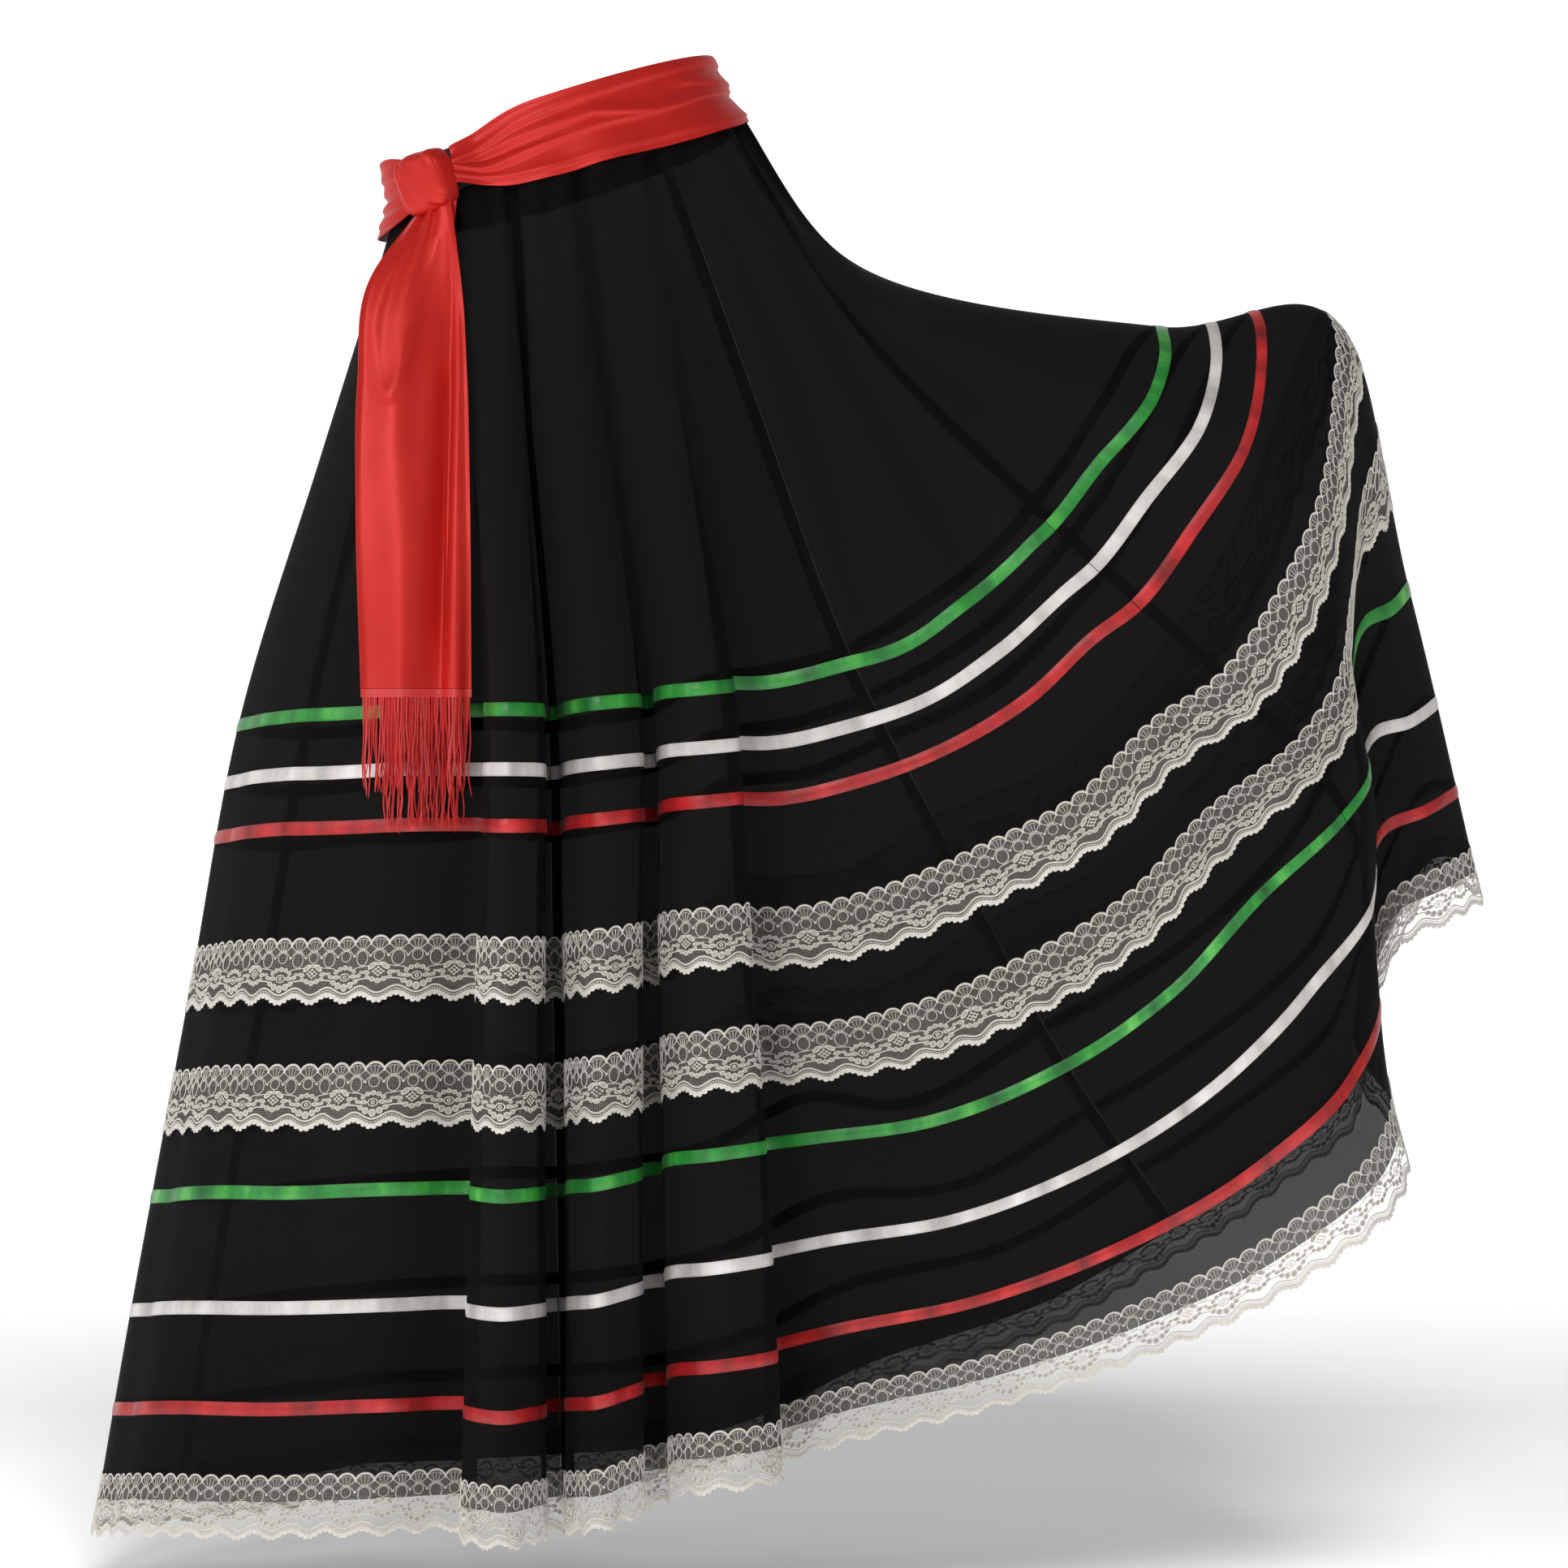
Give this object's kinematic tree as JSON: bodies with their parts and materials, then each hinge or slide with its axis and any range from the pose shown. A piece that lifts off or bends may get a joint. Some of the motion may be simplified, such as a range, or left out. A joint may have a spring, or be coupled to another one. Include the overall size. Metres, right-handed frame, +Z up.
{
  "type": "costume skirt with sash",
  "caption": "Long gathered dance skirt in black voile with bands of satin ribbon and lace and a fringed satin sash, worn, with one side held out as a wing.",
  "frame": {"origin": "middle of the waist, where the wearer holds the skirt up", "axes": "+Z up, the wearer faces -Y, the held-out side of the skirt towards +X"},
  "size_m": [1.0196, 0.4988, 1.0854],
  "materials": {
    "voile": "sheer black voile, matt",
    "elastic": "black woven elastic",
    "green_satin": "green satin ribbon",
    "white_satin": "white satin ribbon",
    "red_ribbon": "red satin ribbon",
    "lace": "off-white lace on a fine net",
    "sash_satin": "red satin with soft creases",
    "fringe_thread": "glossy red fringe thread"
  },
  "bodies": {
    "root": {"waistband": "elastic", "skirt_front": "voile", "skirt_left": "voile", "skirt_back": "voile", "skirt_right": "voile", "ribbon_green_upper": "green_satin", "ribbon_white_upper": "white_satin", "ribbon_red_upper": "red_ribbon", "lace_upper": "lace", "lace_lower": "lace", "ribbon_green_lower": "green_satin", "ribbon_white_lower": "white_satin", "ribbon_red_lower": "red_ribbon", "lace_hem": "lace", "sash_wrap": "sash_satin", "sash_knot": "sash_satin", "sash_tail_front": "sash_satin", "sash_tail_back": "sash_satin", "fringe_front": "fringe_thread", "fringe_back": "fringe_thread"}
  },
  "joints": []
}
